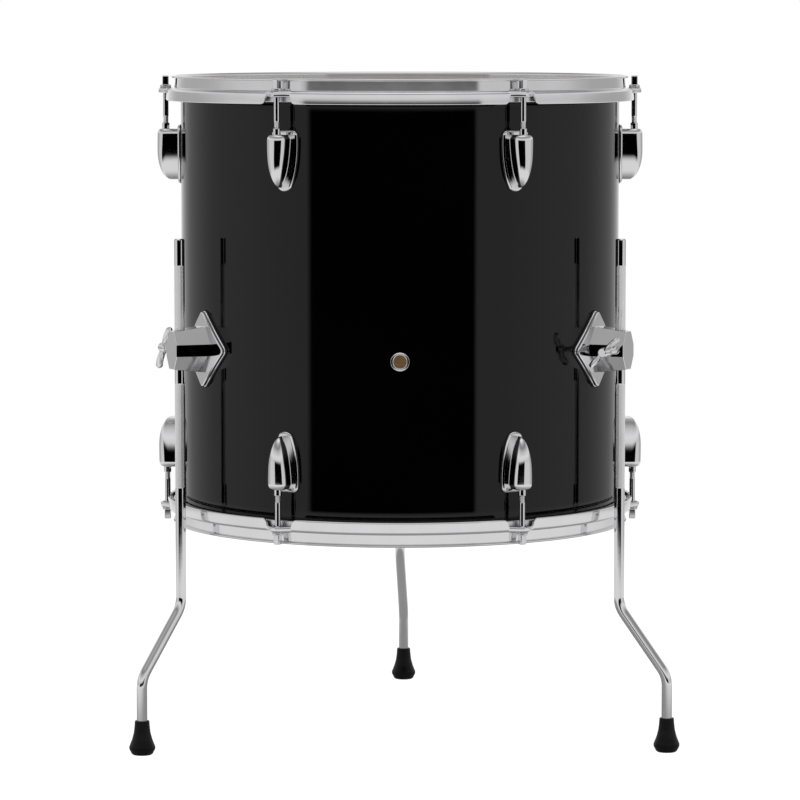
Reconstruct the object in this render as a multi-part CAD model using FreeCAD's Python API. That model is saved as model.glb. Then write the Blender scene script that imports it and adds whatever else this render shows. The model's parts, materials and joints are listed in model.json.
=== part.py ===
"""Floor tom: a 16 by 16 inch tom tom drum that stands on three bent legs.

Units are millimetres. +Z is up, the floor is z = 0 and the drum's axis is x = y = 0.
The front of the drum, where the vent is, faces -Y.

Everything fixed to the shell is first made at the front, with -Y pointing outward and +X to
the right of somebody who looks at the drum, and is then turned about Z to its own azimuth.
The bottom end of the drum is the top end mirrored in the shell's middle plane.
"""
import FreeCAD, Part
import math
import os

from FreeCAD import Vector

os.makedirs("parts", exist_ok=True)

INCH = 25.4
X_AXIS = Vector(1, 0, 0)
Y_AXIS = Vector(0, 1, 0)
Z_AXIS = Vector(0, 0, 1)

# ---- driving dimensions: shell and heads -------------------------------------------------
SHELL_R = 16 * INCH / 2          # outside of the wrap
SHELL_DEPTH = 400.0              # bearing edge to bearing edge
SHELL_BOTTOM = 204.0             # height of the lower bearing edge
WRAP = 0.6                       # gloss covering
PLY_WALL = 7.0                   # six plies of wood
WRAP_END_GAP = 7.0               # bare wood between the wrap's end and the bearing edge
EDGE_INSET = 1.0                 # bearing edge peak, in from the ply's outside
EDGE_BEVEL = 5.0                 # inside bevel at 45 degrees
SEGMENTS = 12                    # touching solids that the wooden tube is drawn as
FILM = 0.3                       # drum head film

SHELL_TOP = SHELL_BOTTOM + SHELL_DEPTH
MIDDLE = (SHELL_BOTTOM + SHELL_TOP) / 2
PLY_R = SHELL_R - WRAP
PLY_INNER_R = PLY_R - PLY_WALL
EDGE_R = PLY_R - EDGE_INSET

# ---- hoops --------------------------------------------------------------------------------
STEEL = 2.3                      # thickness of the hoop's sheet
HOOP_RISE = 7.0                  # rim above the head
HOOP_WALL_R = 209.3              # outside of the upright wall
HOOP_LIP_R = 211.7               # outside of the rolled rim
SKIRT_R = 216.9                  # outside of the turned down skirt
FLANGE_DROP = 11.4               # rim to the top of the flange
HOOP_HEIGHT = 23.0
FLESH_INNER_R = 204.3
FLESH_OUTER_R = 211.6
FLESH_HEIGHT = 7.4

RIM_Z = SHELL_TOP + HOOP_RISE
FLANGE_Z = RIM_Z - FLANGE_DROP
SKIRT_END_Z = RIM_Z - HOOP_HEIGHT

# ---- tension rods and lugs ----------------------------------------------------------------
ROD_COUNT = 6
ROD_FIRST_AZIMUTH = 30.0
ROD_CIRCLE_R = 217.3
ROD_R = 2.6
ROD_LENGTH = 58.0                # under the collar
ROD_HOLE_R = 3.1
EAR_R = 7.2
NOTCH_WIDTH = 26.0               # gap in the skirt at each ear
WASHER_R = 5.3
WASHER = 1.2
COLLAR_R = 5.0
COLLAR = 1.5
KEY_SQUARE = 6.0
KEY_HEIGHT = 8.4
THREAD_FIT = 0.06                # radial clearance of the threads

LUG_TOP_Z = 565.0                # flat end of the base plate
LUG_TIP_Z = 511.0                # rounded point of the base plate
LUG_HALF_WIDTH = 13.0
LUG_CORNER_R = 4.0               # corners of the plate's flat end
LUG_WAIST = (0.915, 24.0)        # share of the half width, and height over the tip
LUG_TOE = (7.0, 3.6)             # half width where the tip's arc starts, and height over the tip
LUG_PLATE = 2.2
LUG_BODY_TOP_Z = 561.5
LUG_BODY_TIP_Z = 514.5
LUG_STANDOFF = 23.5
LUG_BODY_HALF = 9.6
LUG_PROUD = 20.5                 # highest point of the body over its plate
LUG_GASKET = 0.8
NUT_NECK_R = 3.4
NUT_BODY_R = 4.9
NUT_NECK_Z = 567.0
NUT_BODY_Z = 558.5
NUT_END_Z = 545.0
LUG_TAIL_HOLE_Z = 536.0          # end of the rod's clearance hole in the lug
LUG_SCREW_ZS = (555.0, 523.0)
LUG_SCREW_R = 2.0
LUG_SCREW_BITE = 5.0

# ---- leg brackets -------------------------------------------------------------------------
LEG_AZIMUTHS = {"front_left": -60.0, "front_right": 60.0, "back": 180.0}
LEG_CIRCLE_R = 230.0
BRACKET_Z = 364.8
PLATE_HALF = 35.6                # centre of the diamond plate to its corner, before rounding
PLATE_TIP_R = 5.0
PLATE = 3.6
BRACKET_GASKET = 1.2
BRACKET_END_R = 238.5            # distance of the end face from the drum's axis
BODY_ROOT_R = 206.5
ROOT_HALF = (17.0, 20.7)         # half width and half height of the octagon at the plate
ROOT_FLAT = (8.1, 5.4)           # half lengths of its top and side flats
END_HALF = (10.5, 17.2)          # the same at the end face
END_FLAT = (5.0, 5.3)
BODY_EDGE_R = 1.2
BRACKET_SCREW_X = 9.5
BRACKET_SCREW_Z = 12.0
BRACKET_SCREW_R = 2.5
BRACKET_SCREW_BITE = 7.0
SCREW_HEAD = 3.0
SCREW_WASHER = 1.2
SCREW_WASHER_SPREAD = 2.3        # washer radius over screw radius

# ---- legs, bushes, wing bolts and feet -----------------------------------------------------
LEG_R = 4.75
LEG_TOP_Z = 465.5
LEG_CHAMFER = 1.0
LEG_OFFSET = 46.0                # foot axis from leg axis
UPPER_BEND_Z = 131.0
LOWER_BEND_Z = 69.0
BEND_R = 26.0
FOOT_TURN = {"front_left": 12.0, "front_right": 9.4, "back": -4.5}
LEG_END_Z = 6.0
BUSH_R = 6.5
BUSH_HALF = 11.8
BUSH_FIT = 0.06
BUSH_SLIT = 1.2
CASTING_FIT = 0.06
LEG_HOLE_R = 5.15                # clearance hole above and below the bush
BOLT_R = 2.94
BOLT_HOLE_R = 3.0
PAD_R = 2.5
PAD = 1.5
PAD_GAP = 0.3
HUB_R = 4.4
HUB_INNER_X = 25.0
HUB_OUTER_X = 36.5
WING_SPAN_HALF = 19.5
WING_THICK = 3.0
WING_ANGLE = {"front_left": -18.0, "front_right": 46.0, "back": 20.0}  # from upright, outward
FOOT_NECK_R = 6.4
FOOT_FLARE_R = 11.9
FOOT_FLARE_Z = 9.0
FOOT_HEIGHT = 31.0

# ---- vent ----------------------------------------------------------------------------------
VENT_Z = 361.6
VENT_HOLE_R = 5.75
VENT_TUBE_R = 6.9
VENT_FLANGE_R = 8.35
VENT_FLANGE = 1.0
VENT_RING_R = 9.5
VENT_RING = 1.5


# ---- helpers ------------------------------------------------------------------------------
def around(shape, azimuth):
    """The shape turned from the front to an azimuth, which grows towards +X."""
    turned = shape.copy()
    turned.rotate(Vector(0, 0, 0), Z_AXIS, azimuth)
    return turned


def flipped(shape):
    """The shape mirrored to the other end of the drum."""
    return shape.mirror(Vector(0, 0, MIDDLE), Z_AXIS)


def lathe(points, centre=Vector(0, 0, 0), axis=Z_AXIS):
    """A solid of revolution; each point is a radius and a height along the axis."""
    side = X_AXIS if abs(axis.dot(X_AXIS)) < 0.5 else Y_AXIS
    corners = [centre + side * radius + axis * height for radius, height in points]
    face = Part.Face(Part.makePolygon(corners + corners[:1]))
    return face.revolve(centre, axis, 360)


def rod(radius, start, end):
    """A round bar between two points."""
    return Part.makeCylinder(radius, (end - start).Length, start, end - start)


def outline_prism(wire, start, end):
    """A wire drawn in the XZ plane, made solid between two distances from the drum's axis."""
    placed = wire.copy()
    placed.translate(Vector(0, -start, 0))
    return Part.Face(placed).extrude(Vector(0, start - end, 0))


def shell_band(inner, outer, low, high):
    """A band of cylinder about the drum's axis."""
    return lathe([(inner, low), (outer, low), (outer, high), (inner, high)])


def rounded(shape, radius, edges):
    """The shape with the given edges rounded, or as it is when there are none."""
    return shape.makeFillet(radius, edges) if edges else shape


def group(shapes):
    """Identical pieces that share a node, each still a solid of its own."""
    return Part.makeCompound(shapes)


def save(name, shape):
    shape.exportStep("parts/%s.step" % name)


ROD_AZIMUTHS = [ROD_FIRST_AZIMUTH + 360.0 / ROD_COUNT * i for i in range(ROD_COUNT)]


def ring_of(shape):
    """One copy of the shape at each tension rod."""
    return [around(shape, azimuth) for azimuth in ROD_AZIMUTHS]


# ---- shell ---------------------------------------------------------------------------------
def lug_screw_spots():
    """Height of each lug screw, at both ends of the drum."""
    return [z for top in LUG_SCREW_ZS for z in (top, 2 * MIDDLE - top)]


def bracket_screw_spots():
    return [(x, BRACKET_Z + z) for x in (-BRACKET_SCREW_X, BRACKET_SCREW_X)
            for z in (-BRACKET_SCREW_Z, BRACKET_SCREW_Z)]


def radial_pin(radius, x, z, start, end):
    """A bar that points outward at the front, between two distances from the drum's axis."""
    return rod(radius, Vector(x, -start, z), Vector(x, -end, z))


def shell_holes():
    """All the screw holes and the vent hole, as pins to cut with."""
    inside = PLY_INNER_R - 10
    outside = SHELL_R + 5
    pins = [radial_pin(VENT_TUBE_R, 0, VENT_Z, inside, outside)]
    for azimuth in ROD_AZIMUTHS:
        for z in lug_screw_spots():
            pins.append(around(radial_pin(LUG_SCREW_R, 0, z, inside, outside), azimuth))
    for azimuth in LEG_AZIMUTHS.values():
        for x, z in bracket_screw_spots():
            pins.append(around(radial_pin(BRACKET_SCREW_R, x, z, inside, outside), azimuth))
    return group(pins)


def shell_plies(holes):
    """Wooden tube with a rounded outside and a 45 degree bevel inside each bearing edge.

    It is drawn as equal upright segments that touch, so that each one is a simple solid.
    """
    def end(sign, level):
        return [(PLY_R, level - sign * 2.2), (PLY_R - 0.3, level - sign * 0.8), (EDGE_R, level),
                (EDGE_R - 0.4, level), (PLY_INNER_R, level - sign * EDGE_BEVEL)]
    corners = [Vector(0, -radius, z) for radius, z in end(1, SHELL_TOP) + end(-1, SHELL_BOTTOM)[::-1]]
    profile = Part.Face(Part.makePolygon(corners + corners[:1]))
    width = 360.0 / SEGMENTS
    segment = around(profile, -width / 2).revolve(Vector(0, 0, 0), Z_AXIS, width)
    return group([around(segment, width * i).cut(holes) for i in range(SEGMENTS)])


def shell_wrap(holes):
    return shell_band(PLY_R, SHELL_R, SHELL_BOTTOM + WRAP_END_GAP, SHELL_TOP - WRAP_END_GAP).cut(holes)


def vent_grommet():
    """Flanged tube through the shell; its flange is curved to lie on the wrap."""
    flange = radial_pin(VENT_FLANGE_R, 0, VENT_Z, SHELL_R - 5, SHELL_R + VENT_FLANGE)
    flange = flange.cut(shell_band(100, SHELL_R, VENT_Z - 20, VENT_Z + 20))
    tube = radial_pin(VENT_TUBE_R, 0, VENT_Z, PLY_INNER_R - VENT_RING, SHELL_R + VENT_FLANGE)
    bore = radial_pin(VENT_HOLE_R, 0, VENT_Z, PLY_INNER_R - 10, SHELL_R + 10)
    return flange.fuse(tube).cut(bore).removeSplitter()


def vent_ring():
    """Washer that the grommet is rolled over, inside the shell."""
    disc = radial_pin(VENT_RING_R, 0, VENT_Z, PLY_INNER_R - VENT_RING, PLY_INNER_R + 2)
    disc = disc.common(Part.makeCylinder(PLY_INNER_R, 60, Vector(0, 0, VENT_Z - 30)))
    return disc.cut(radial_pin(VENT_TUBE_R, 0, VENT_Z, PLY_INNER_R - 10, PLY_INNER_R + 10))


# ---- head and hoop at the top end ------------------------------------------------------------
def head_film():
    """Flat film, and the collar it turns into over the bearing edge, down into the flesh hoop."""
    low = FLANGE_Z - STEEL - FLESH_HEIGHT + 3
    shoulder = SHELL_TOP - 6.0
    outside = FLESH_INNER_R + 1.2
    flat = Part.makeCylinder(EDGE_R, FILM, Vector(0, 0, SHELL_TOP))
    collar = lathe([(EDGE_R, SHELL_TOP), (EDGE_R + 0.2, SHELL_TOP), (outside - FILM, shoulder),
                    (outside - FILM, low), (outside, low), (outside, shoulder + 0.1),
                    (EDGE_R + 0.4, SHELL_TOP + FILM), (EDGE_R, SHELL_TOP + FILM)])
    return group([flat, collar])


def flesh_hoop(film):
    """Aluminium ring that grips the film and sits under the hoop's flange."""
    top = FLANGE_Z - STEEL
    return shell_band(FLESH_INNER_R, FLESH_OUTER_R, top - FLESH_HEIGHT, top).cut(film)


def hoop_ring():
    """Triple flanged section: rolled rim, upright wall, flange and turned down skirt."""
    wall_inner = HOOP_WALL_R - STEEL
    skirt_inner = SKIRT_R - STEEL
    under = FLANGE_Z - STEEL
    section = [(wall_inner, RIM_Z - 0.8), (wall_inner + 0.8, RIM_Z), (HOOP_LIP_R - 0.8, RIM_Z),
               (HOOP_LIP_R, RIM_Z - 0.8), (HOOP_LIP_R, RIM_Z - STEEL), (HOOP_WALL_R, RIM_Z - STEEL),
               (HOOP_WALL_R, FLANGE_Z), (SKIRT_R - 1.2, FLANGE_Z), (SKIRT_R, FLANGE_Z - 1.2),
               (SKIRT_R, SKIRT_END_Z), (skirt_inner, SKIRT_END_Z), (skirt_inner, under),
               (wall_inner, under)]
    return lathe(section)


def ear_outline():
    """Ear seen from above: a round nose about the rod, with flanks that run out to the skirt."""
    nose = -ROD_CIRCLE_R
    root = -(HOOP_WALL_R - 0.5)
    flank = NOTCH_WIDTH / 2
    slope = math.radians(35)
    left = Vector(-EAR_R * math.cos(slope), nose - EAR_R * math.sin(slope), 0)
    right = Vector(-left.x, left.y, 0)
    arc = Part.Arc(left, Vector(0, nose - EAR_R, 0), right).toShape()
    back_right = Vector(flank, root, 0)
    back_left = Vector(-flank, root, 0)
    knee_right = Vector(flank, -(SKIRT_R - 1.5), 0)
    knee_left = Vector(-flank, knee_right.y, 0)
    sides = Part.makePolygon([right, knee_right, back_right, back_left, knee_left, left])
    return Part.Wire([arc] + sides.Edges)


def skirt_notch():
    """Arch shaped gap in the skirt in front of the rod."""
    half = NOTCH_WIDTH / 2
    crown = FLANGE_Z - STEEL
    flare = 5.0
    low = SKIRT_END_Z - 1
    foot = SKIRT_END_Z + flare
    bulge = flare * (1 - math.sqrt(0.5))
    wire = Part.Wire([
        Part.makeLine(Vector(-half, 0, crown), Vector(half, 0, crown)),
        Part.makeLine(Vector(half, 0, crown), Vector(half, 0, foot)),
        Part.Arc(Vector(half, 0, foot), Vector(half + bulge, 0, SKIRT_END_Z + bulge),
                 Vector(half + flare, 0, SKIRT_END_Z)).toShape(),
        Part.makeLine(Vector(half + flare, 0, SKIRT_END_Z), Vector(half + flare, 0, low)),
        Part.makeLine(Vector(half + flare, 0, low), Vector(-half - flare, 0, low)),
        Part.makeLine(Vector(-half - flare, 0, low), Vector(-half - flare, 0, SKIRT_END_Z)),
        Part.Arc(Vector(-half - flare, 0, SKIRT_END_Z), Vector(-half - bulge, 0, SKIRT_END_Z + bulge),
                 Vector(-half, 0, foot)).toShape(),
        Part.makeLine(Vector(-half, 0, foot), Vector(-half, 0, crown)),
    ])
    return outline_prism(wire, FLESH_OUTER_R + 0.4, SKIRT_R + 8)


def hoop():
    """Steel hoop with an ear, a rod hole and a gap in its skirt at each tension rod."""
    ear = Part.Face(ear_outline()).extrude(Vector(0, 0, STEEL))
    ear.translate(Vector(0, 0, FLANGE_Z - STEEL))
    hole = rod(ROD_HOLE_R, Vector(0, -ROD_CIRCLE_R, FLANGE_Z - 6), Vector(0, -ROD_CIRCLE_R, FLANGE_Z + 6))
    body = hoop_ring().cut(group(ring_of(skirt_notch())))
    body = body.fuse(ring_of(ear))
    return body.cut(group(ring_of(hole))).removeSplitter()


# ---- tension rod, washer and lug at the top end ------------------------------------------------
def rod_washer():
    spot = Vector(0, -ROD_CIRCLE_R, FLANGE_Z)
    bore = ROD_R + 0.3
    return lathe([(bore, 0), (WASHER_R, 0), (WASHER_R, WASHER * 0.6), (WASHER_R - 0.5, WASHER),
                  (bore, WASHER)], spot)


def tension_rod():
    """Rod with a square key head over a round collar."""
    spot = Vector(0, -ROD_CIRCLE_R, FLANGE_Z + WASHER)
    shank = lathe([(0, -ROD_LENGTH), (ROD_R - 0.8, -ROD_LENGTH), (ROD_R, -ROD_LENGTH + 1),
                   (ROD_R, 0), (COLLAR_R, 0), (COLLAR_R, COLLAR - 0.5), (COLLAR_R - 0.5, COLLAR),
                   (0, COLLAR)], spot)
    key = Part.makeBox(KEY_SQUARE, KEY_SQUARE, KEY_HEIGHT,
                       spot + Vector(-KEY_SQUARE / 2, -KEY_SQUARE / 2, COLLAR))
    top = spot.z + COLLAR + KEY_HEIGHT
    key = rounded(key, 0.8, [edge for edge in key.Edges
                             if edge.BoundBox.ZLength > 1 or edge.BoundBox.ZMin > top - 0.1])
    return shank.fuse(key)


def lug_outline(grow):
    """Teardrop of the base plate: flat at the hoop's end, with a rounded point at the other."""
    half = LUG_HALF_WIDTH + grow
    top = LUG_TOP_Z + grow
    tip = LUG_TIP_Z - grow
    corner = LUG_CORNER_R
    bulge = corner * (1 - math.sqrt(0.5))
    toe = Vector(LUG_TOE[0], 0, tip + LUG_TOE[1])
    toe_left = Vector(-toe.x, 0, toe.z)
    waist = Vector(half * LUG_WAIST[0], 0, tip + LUG_WAIST[1])
    waist_left = Vector(-waist.x, 0, waist.z)
    shoulder = Vector(half, 0, top - corner)
    shoulder_left = Vector(-half, 0, top - corner)
    return Part.Wire([
        Part.makeLine(Vector(corner - half, 0, top), Vector(half - corner, 0, top)),
        Part.Arc(Vector(half - corner, 0, top), Vector(half - bulge, 0, top - bulge), shoulder).toShape(),
        Part.Arc(shoulder, waist, toe).toShape(),
        Part.Arc(toe, Vector(0, 0, tip), toe_left).toShape(),
        Part.Arc(toe_left, waist_left, shoulder_left).toShape(),
        Part.Arc(shoulder_left, Vector(bulge - half, 0, top - bulge),
                 Vector(corner - half, 0, top)).toShape(),
    ])


def lug_section(along, half, standoff):
    """One D shaped slice of the lug's body, at a height, as a superellipse over the shell."""
    root = SHELL_R + LUG_GASKET + LUG_PLATE / 2
    depth = SHELL_R + standoff - root
    squareness = 2.0 / 2.6
    steps = 16
    points = []
    for i in range(steps + 1):
        angle = math.pi * i / steps
        across = math.copysign(abs(math.cos(angle)) ** squareness, math.cos(angle))
        points.append(Vector(half * across, -root - depth * math.sin(angle) ** squareness, along))
    curve = Part.BSplineCurve()
    curve.interpolate(points)
    return Part.Wire([curve.toShape(), Part.makeLine(points[-1], points[0])])


def lug_width(share):
    """Body width along the lug, from 1 at the flat end: a taper, then a blunt rounded point."""
    past = max(0.0, (share - 0.7) / 0.3)
    return (1 - 0.45 * share ** 1.3) * math.sqrt(1 - 0.93 * past ** 2)


def lug_rise(share):
    """Body height over the plate along the lug: level, then a quarter of an ellipse."""
    past = max(0.0, (share - 0.4) / 0.6)
    return 0.37 + 0.63 * math.sqrt(1 - past ** 2)


def lug_body():
    """Bullet of D shaped slices from the flat end to the point."""
    length = LUG_BODY_TOP_Z - LUG_BODY_TIP_Z
    slices = []
    for share in (0.0, 0.04, 0.12, 0.3, 0.5, 0.64, 0.76, 0.86, 0.94, 1.0):
        shoulder = 1.0 if share else 0.88
        half = LUG_BODY_HALF * shoulder * lug_width(share)
        standoff = LUG_STANDOFF - LUG_PROUD * (1 - shoulder * lug_rise(share))
        slices.append(lug_section(LUG_BODY_TOP_Z - share * length, half, standoff))
    return Part.makeLoft(slices, True, False)


def lug_casing():
    """Cast casing: curved teardrop plate, bullet body, and a chamber for the swivel nut."""
    plate_inner = SHELL_R + LUG_GASKET
    plate = outline_prism(lug_outline(0), SHELL_R - 4, SHELL_R + 8)
    plate = plate.common(shell_band(plate_inner, plate_inner + LUG_PLATE, LUG_TIP_Z - 5, LUG_TOP_Z + 5))
    axis = Vector(0, -ROD_CIRCLE_R, 0)
    neck = rod(NUT_NECK_R + 0.2, axis + Z_AXIS * (NUT_BODY_Z - 1), axis + Z_AXIS * (LUG_TOP_Z + 5))
    chamber = rod(NUT_BODY_R + 0.2, axis + Z_AXIS * (NUT_END_Z - 0.2), axis + Z_AXIS * (NUT_BODY_Z + 0.2))
    tail = rod(ROD_HOLE_R, axis + Z_AXIS * LUG_TAIL_HOLE_Z, axis + Z_AXIS * NUT_END_Z)
    casing = plate.fuse(lug_body()).cut(group([neck, chamber, tail]))
    pins = [radial_pin(LUG_SCREW_R, 0, z, SHELL_R - 5, SHELL_R + LUG_SCREW_BITE) for z in LUG_SCREW_ZS]
    return casing.cut(group(pins))


def lug_gasket():
    sheet = outline_prism(lug_outline(0.5), SHELL_R - 4, SHELL_R + 8)
    sheet = sheet.common(shell_band(SHELL_R, SHELL_R + LUG_GASKET, LUG_TIP_Z - 5, LUG_TOP_Z + 5))
    return sheet.cut(group([radial_pin(LUG_SCREW_R, 0, z, SHELL_R - 5, SHELL_R + 5)
                            for z in LUG_SCREW_ZS]))


def swivel_nut():
    """Threaded nut in the lug; its neck stands out of the lug's flat end."""
    bore = ROD_R + THREAD_FIT
    return lathe([(bore, NUT_END_Z), (NUT_BODY_R, NUT_END_Z), (NUT_BODY_R, NUT_BODY_Z),
                  (NUT_NECK_R, NUT_BODY_Z), (NUT_NECK_R, NUT_NECK_Z - 0.5),
                  (NUT_NECK_R - 0.5, NUT_NECK_Z), (bore, NUT_NECK_Z)], Vector(0, -ROD_CIRCLE_R, 0))


def washer_face(x, radius):
    """Distance from the drum's axis at which a flat washer's edge meets the curved inner wall."""
    reach = abs(x) + radius * SCREW_WASHER_SPREAD
    return math.sqrt(PLY_INNER_R ** 2 - reach ** 2) - 0.05


def inside_screw(x, z, radius, bite):
    """Screw from inside the shell: a domed head, and a shank that ends in the casting."""
    seat = washer_face(x, radius) - SCREW_WASHER
    head = lathe([(0, 0), (radius * 1.9, 0), (radius * 1.8, SCREW_HEAD * 0.6), (radius, SCREW_HEAD),
                  (0, SCREW_HEAD)], Vector(x, -seat, z), Y_AXIS)
    slot = Part.makeBox(radius * 2.2, 1.2, 0.9,
                        Vector(x - radius * 1.1, -seat + SCREW_HEAD - 1.2, z - 0.45))
    return head.cut(slot).fuse(radial_pin(radius, x, z, seat - 0.01, SHELL_R + bite))


def inside_washer(x, z, radius):
    seat = washer_face(x, radius)
    disc = radial_pin(radius * SCREW_WASHER_SPREAD, x, z, seat - SCREW_WASHER, seat)
    return disc.cut(radial_pin(radius, x, z, seat - 5, seat + 5))


# ---- leg bracket at the front -------------------------------------------------------------------
def diamond(half, tip_radius):
    """Square standing on its corner, with rounded tips."""
    corners = [Vector(half, 0, 0), Vector(0, 0, half), Vector(-half, 0, 0), Vector(0, 0, -half)]
    reach = half - tip_radius * (math.sqrt(2) - 1)
    arcs = []
    for i, corner in enumerate(corners):
        before = (corners[i - 1] - corner).normalize()
        after = (corners[(i + 1) % 4] - corner).normalize()
        arcs.append((corner + before * tip_radius, corner * (reach / half), corner + after * tip_radius))
    edges = []
    for i, arc in enumerate(arcs):
        edges.append(Part.Arc(*arc).toShape())
        edges.append(Part.makeLine(arc[2], arcs[(i + 1) % 4][0]))
    wire = Part.Wire(edges)
    wire.translate(Vector(0, 0, BRACKET_Z))
    return wire


def octagon(distance, half, flat):
    """Eight sided slice of the bracket's body, at a distance from the drum's axis."""
    wide, tall = half
    top_flat, side_flat = flat
    corners = [(top_flat, tall), (wide, side_flat), (wide, -side_flat), (top_flat, -tall),
               (-top_flat, -tall), (-wide, -side_flat), (-wide, side_flat), (-top_flat, tall)]
    points = [Vector(x, -distance, BRACKET_Z + z) for x, z in corners]
    return Part.makePolygon(points + points[:1])


def clamp_axis_point(x):
    return Vector(x, -LEG_CIRCLE_R, BRACKET_Z)


def bracket_casting():
    """Diamond plate and faceted body, bored for the leg, its bush and the wing bolt."""
    inner = SHELL_R + BRACKET_GASKET
    plate = outline_prism(diamond(PLATE_HALF, PLATE_TIP_R), SHELL_R - 10, SHELL_R + 10)
    low = BRACKET_Z - PLATE_HALF - 5
    high = BRACKET_Z + PLATE_HALF + 5
    plate = plate.common(shell_band(inner, inner + PLATE, low, high))
    body = Part.makeLoft([octagon(BODY_ROOT_R - 4, ROOT_HALF, ROOT_FLAT),
                          octagon(BRACKET_END_R, END_HALF, END_FLAT)], True, True)
    body = rounded(body, BODY_EDGE_R, [edge for edge in body.Edges
                                       if edge.BoundBox.YMin < -BRACKET_END_R + 5])
    body = body.cut(Part.makeCylinder(inner, high - low, Vector(0, 0, low)))
    casting = plate.fuse(body).removeSplitter()
    centre = clamp_axis_point(0)
    half_height = Z_AXIS * (BUSH_HALF + 0.2)
    cavity = rod(BUSH_R + CASTING_FIT, centre - half_height, centre + half_height)
    leg_hole = rod(LEG_HOLE_R, centre - Z_AXIS * 40, centre + Z_AXIS * 40)
    bolt_hole = rod(BOLT_HOLE_R, centre, clamp_axis_point(-30))
    pins = [radial_pin(BRACKET_SCREW_R, x, z, SHELL_R - 5, SHELL_R + BRACKET_SCREW_BITE)
            for x, z in bracket_screw_spots()]
    return casting.cut(group([cavity, leg_hole, bolt_hole] + pins))


def bracket_gasket():
    sheet = outline_prism(diamond(PLATE_HALF + 0.8, PLATE_TIP_R), SHELL_R - 10, SHELL_R + 10)
    sheet = sheet.common(shell_band(SHELL_R, SHELL_R + BRACKET_GASKET, BRACKET_Z - 45, BRACKET_Z + 45))
    return sheet.cut(group([radial_pin(BRACKET_SCREW_R, x, z, SHELL_R - 5, SHELL_R + 5)
                            for x, z in bracket_screw_spots()]))


def leg_bush():
    """Split sleeve that grips the leg inside the bracket."""
    centre = clamp_axis_point(0)
    bore = LEG_R + BUSH_FIT
    sleeve = lathe([(bore, -BUSH_HALF), (BUSH_R, -BUSH_HALF), (BUSH_R, BUSH_HALF),
                    (bore, BUSH_HALF)], centre)
    slit = Part.makeBox(10, BUSH_SLIT, 4 * BUSH_HALF, centre + Vector(0, -BUSH_SLIT / 2, -2 * BUSH_HALF))
    return sleeve.cut(slit)


def clamp_pad():
    """Brass tip that the wing bolt presses against the bush."""
    face = -(BUSH_R + PAD_GAP)
    return rod(PAD_R, clamp_axis_point(face), clamp_axis_point(face - PAD))


def wing_bolt(angle):
    """Threaded shank, hub, and two flat wings at an angle from upright."""
    tip = BUSH_R + PAD_GAP + PAD
    turned = lathe([(0, tip), (BOLT_R, tip), (BOLT_R, HUB_INNER_X), (HUB_R - 0.6, HUB_INNER_X),
                    (HUB_R, HUB_INNER_X + 0.6), (HUB_R, HUB_OUTER_X - 0.8), (HUB_R - 0.8, HUB_OUTER_X),
                    (0, HUB_OUTER_X)], clamp_axis_point(0), Vector(-1, 0, 0))
    root = 2.0
    lobe = 6.0
    inner = HUB_INNER_X + 1.5
    outer = HUB_OUTER_X - 0.5
    middle = (inner + outer) / 2
    far = WING_SPAN_HALF

    def at(across, radius):
        return Vector(-across, 0, radius)

    profile = Part.Wire([
        Part.makeLine(at(inner, root), at(outer, root)),
        Part.Arc(at(outer, root), at(outer + 1.6, far * 0.6), at(outer + 0.6, far - lobe / 2)).toShape(),
        Part.Arc(at(outer + 0.6, far - lobe / 2), at(middle, far),
                 at(inner - 0.6, far - lobe / 2)).toShape(),
        Part.Arc(at(inner - 0.6, far - lobe / 2), at(inner + 1.4, far * 0.42), at(inner, root)).toShape(),
    ])
    profile.translate(Vector(0, -WING_THICK / 2, 0))
    wing = Part.Face(profile).extrude(Vector(0, WING_THICK, 0))
    wing = rounded(wing, 1.1, [edge for edge in wing.Edges if edge.BoundBox.YLength < 0.01
                               and edge.BoundBox.ZMax > root + 1])
    wings = []
    for turn in (angle, angle + 180):
        placed = wing.copy()
        placed.rotate(Vector(0, 0, 0), X_AXIS, turn)
        placed.translate(clamp_axis_point(0))
        wings.append(placed)
    return turned.fuse(wings).removeSplitter()


def leg():
    """Bent round leg: straight down, out to the foot's axis, and straight down again."""
    def path_point(out, z):
        return Vector(0, -out, z)
    corners = [path_point(0, LEG_TOP_Z), path_point(0, UPPER_BEND_Z),
               path_point(LEG_OFFSET, LOWER_BEND_Z), path_point(LEG_OFFSET, LEG_END_Z)]
    edges = []
    start = corners[0]
    for i in (1, 2):
        before = (corners[i - 1] - corners[i]).normalize()
        after = (corners[i + 1] - corners[i]).normalize()
        half_turn = math.acos(before.dot(after)) / 2
        tangent = BEND_R / math.tan(half_turn)
        enter = corners[i] + before * tangent
        leave = corners[i] + after * tangent
        inward = (before + after).normalize()
        crown = corners[i] + inward * (BEND_R / math.sin(half_turn) - BEND_R)
        edges.append(Part.makeLine(start, enter))
        edges.append(Part.Arc(enter, crown, leave).toShape())
        start = leave
    edges.append(Part.makeLine(start, corners[3]))
    path = Part.Wire(edges)
    section = Part.Wire(Part.makeCircle(LEG_R, corners[0], Z_AXIS))
    bar = path.makePipeShell([section], True, False)
    bar = bar if bar.ShapeType == "Solid" else Part.Solid(bar)
    ends = [edge for edge in bar.Edges if edge.BoundBox.ZMin > LEG_TOP_Z - 0.01]
    return bar.makeChamfer(LEG_CHAMFER, ends)


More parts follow.
